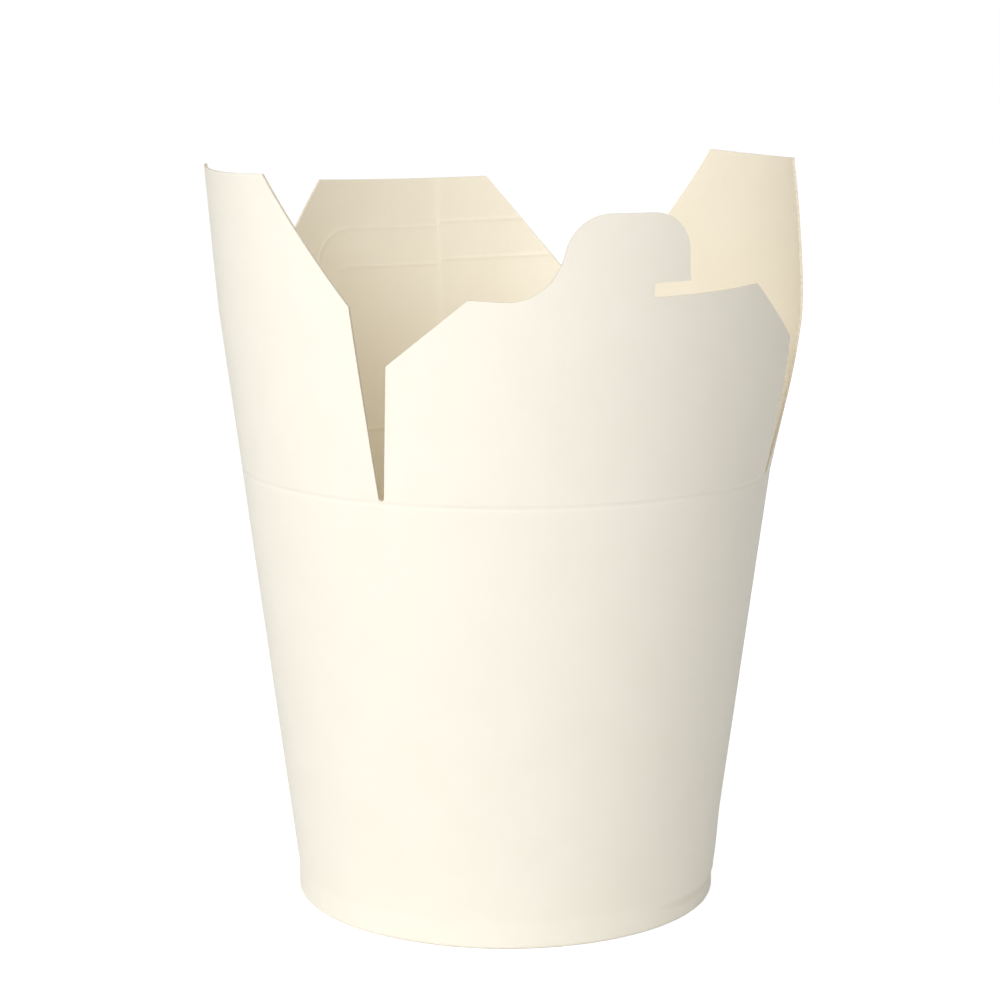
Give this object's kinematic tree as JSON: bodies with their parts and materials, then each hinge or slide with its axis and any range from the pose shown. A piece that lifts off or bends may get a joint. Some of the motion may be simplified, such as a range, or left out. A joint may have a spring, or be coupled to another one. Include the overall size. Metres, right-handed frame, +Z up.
{
  "type": "noodle takeaway box",
  "caption": "Round-based folding food box of coated board, open and empty, with hinged top flaps, one of them cut with a hooked tab and a slot.",
  "frame": {"origin": "on the table under the middle of the base, on the axis of the tapered wall", "axes": "+Z up along the wall's axis, -Y towards the flap with the hooked tab, +X to that flap's right seen from outside"},
  "size_m": [0.1112, 0.1131, 0.1402],
  "materials": {
    "sleeve_board": "coated, satin",
    "base_board": "coated, satin",
    "front_flap_board": "coated, satin",
    "right_flap_board": "coated, satin",
    "back_flap_board": "coated, satin",
    "left_flap_board": "coated, satin"
  },
  "bodies": {
    "box": {"sleeve": "sleeve_board", "base": "base_board"},
    "front": {"front_flap": "front_flap_board"},
    "right": {"right_flap": "right_flap_board"},
    "back": {"back_flap": "back_flap_board"},
    "left": {"left_flap": "left_flap_board"}
  },
  "joints": [
    {"name": "left_fold", "type": "hinge", "parent": "box", "child": "left", "pos_m": [-0.03757, 0, 0.0824], "axis": [0, 1, 0], "range_deg": [0, 96]},
    {"name": "right_fold", "type": "hinge", "parent": "box", "child": "right", "pos_m": [0.03757, 0, 0.0824], "axis": [0, -1, 0], "range_deg": [0, 88]},
    {"name": "front_fold", "type": "hinge", "parent": "box", "child": "front", "pos_m": [0, -0.03305, 0.0824], "axis": [-1, 0, 0], "range_deg": [0, 45]},
    {"name": "back_fold", "type": "hinge", "parent": "box", "child": "back", "pos_m": [0, 0.03305, 0.0824], "axis": [1, 0, 0], "range_deg": [0, 50]}
  ]
}
